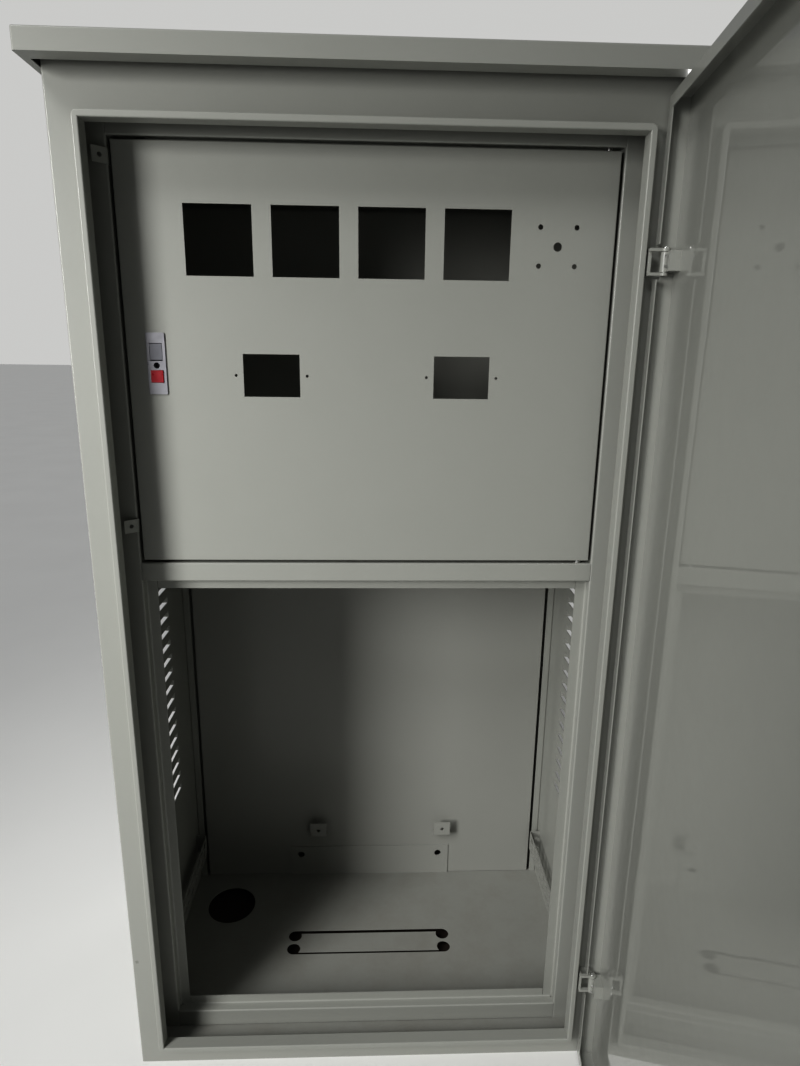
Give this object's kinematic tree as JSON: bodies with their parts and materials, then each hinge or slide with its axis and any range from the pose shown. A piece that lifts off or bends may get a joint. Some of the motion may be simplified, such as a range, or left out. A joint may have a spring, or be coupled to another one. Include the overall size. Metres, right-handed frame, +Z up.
{
  "type": "roadside utility cabinet",
  "caption": "Free-standing sheet-steel outdoor control cabinet with a rain roof, hinged outer door, louvred sides and an inner door with meter cut-outs.",
  "frame": {"origin": "middle of the cabinet body's underside, on the ground", "axes": "+X to the right seen from the front, +Y from the door into the cabinet, +Z up"},
  "size_m": [0.824, 1.2598, 1.5905],
  "materials": {
    "cabinet_paint": "satin gloss light grey powder coat",
    "leaf_paint": "satin gloss light grey powder coat",
    "pan_paint": "satin light grey powder coat with dust",
    "plate_paint": "satin light grey powder coat",
    "zinc": "dull zinc plate",
    "steel": "bright zinc-plated steel",
    "lock_silver": "satin plated zinc casting",
    "lock_chrome": "polished chrome",
    "button_red": "gloss red plastic"
  },
  "bodies": {
    "cabinet": {"front_frame": "cabinet_paint", "side_panel_left": "cabinet_paint", "side_panel_right": "cabinet_paint", "rear_panel": "cabinet_paint", "top_panel": "cabinet_paint", "base_pan": "pan_paint", "roof_canopy": "cabinet_paint", "roof_spacers": "steel", "roof_bolts": "steel", "stile_left": "cabinet_paint", "stile_right": "cabinet_paint", "sill": "cabinet_paint", "crossbar": "cabinet_paint", "top_rail": "cabinet_paint", "pivot_pin_bottom": "steel", "pivot_pin_top": "steel", "rear_post_left": "cabinet_paint", "rear_post_right": "cabinet_paint", "plate_rail_lower": "plate_paint", "plate_rail_upper": "plate_paint", "back_plate": "plate_paint", "doubler_strip": "plate_paint", "tab_left": "plate_paint", "tab_right": "plate_paint", "floor_rail_left": "pan_paint", "floor_rail_right": "pan_paint", "sealing_lug_upper": "cabinet_paint", "sealing_lug_lower": "cabinet_paint", "hinge_bracket_upper": "cabinet_paint", "hinge_bracket_lower": "cabinet_paint", "hinge_pin_upper": "steel", "hinge_pin_lower": "steel"},
    "outer_door": {"outer_door_panel": "cabinet_paint", "hinge_block_upper": "cabinet_paint", "hinge_block_lower": "cabinet_paint", "hinge_screws": "steel", "cam_lock_housing_upper": "lock_chrome", "cam_lock_housing_lower": "lock_chrome", "cam_lock_nuts": "zinc", "pull_handle": "lock_chrome", "handle_screws": "steel"},
    "outer_lock_upper": {"cam_lock_core_upper": "lock_chrome", "lock_cam_upper": "zinc", "cam_screw_upper": "steel"},
    "outer_lock_lower": {"cam_lock_core_lower": "lock_chrome", "lock_cam_lower": "zinc", "cam_screw_lower": "steel"},
    "inner_door": {"inner_door_panel": "leaf_paint", "inner_lock_body": "lock_silver"},
    "lock_paddle": {"inner_lock_paddle": "lock_silver"},
    "lock_button": {"inner_lock_button": "button_red"},
    "inner_lock": {"inner_key_cylinder": "lock_silver", "inner_cam": "zinc", "inner_cam_screw": "steel"}
  },
  "joints": [
    {"name": "outer_door_hinge", "type": "hinge", "parent": "cabinet", "child": "outer_door", "pos_m": [0.388, -0.241, 0.171], "axis": [0, 0, 1], "range_deg": [-83, 17]},
    {"name": "inner_door_hinge", "type": "hinge", "parent": "cabinet", "child": "inner_door", "pos_m": [0.326, -0.168, 0.9155], "axis": [0, 0, 1], "range_deg": [0, 85]},
    {"name": "outer_lock_upper_turn", "type": "hinge", "parent": "outer_door", "child": "outer_lock_upper", "pos_m": [0.27767, -0.95085, 1.155], "axis": [-0.9925, 0.1219, 0], "range_deg": [0, 90]},
    {"name": "outer_lock_lower_turn", "type": "hinge", "parent": "outer_door", "child": "outer_lock_lower", "pos_m": [0.27767, -0.95085, 0.39], "axis": [-0.9925, 0.1219, 0], "range_deg": [0, 90]},
    {"name": "inner_lock_turn", "type": "hinge", "parent": "inner_door", "child": "inner_lock", "pos_m": [-0.3, -0.1575, 1.203], "axis": [0, 1, 0], "range_deg": [0, 90]},
    {"name": "paddle_pull", "type": "hinge", "parent": "inner_door", "child": "lock_paddle", "pos_m": [-0.3, -0.1765, 1.232], "axis": [-1, 0, 0], "range_deg": [0, 35]},
    {"name": "button_press", "type": "slide", "parent": "inner_door", "child": "lock_button", "axis": [0, 1, 0], "range_m": [0, 0.002], "stiffness_N_per_m": 300, "springref_m": -0.001}
  ]
}
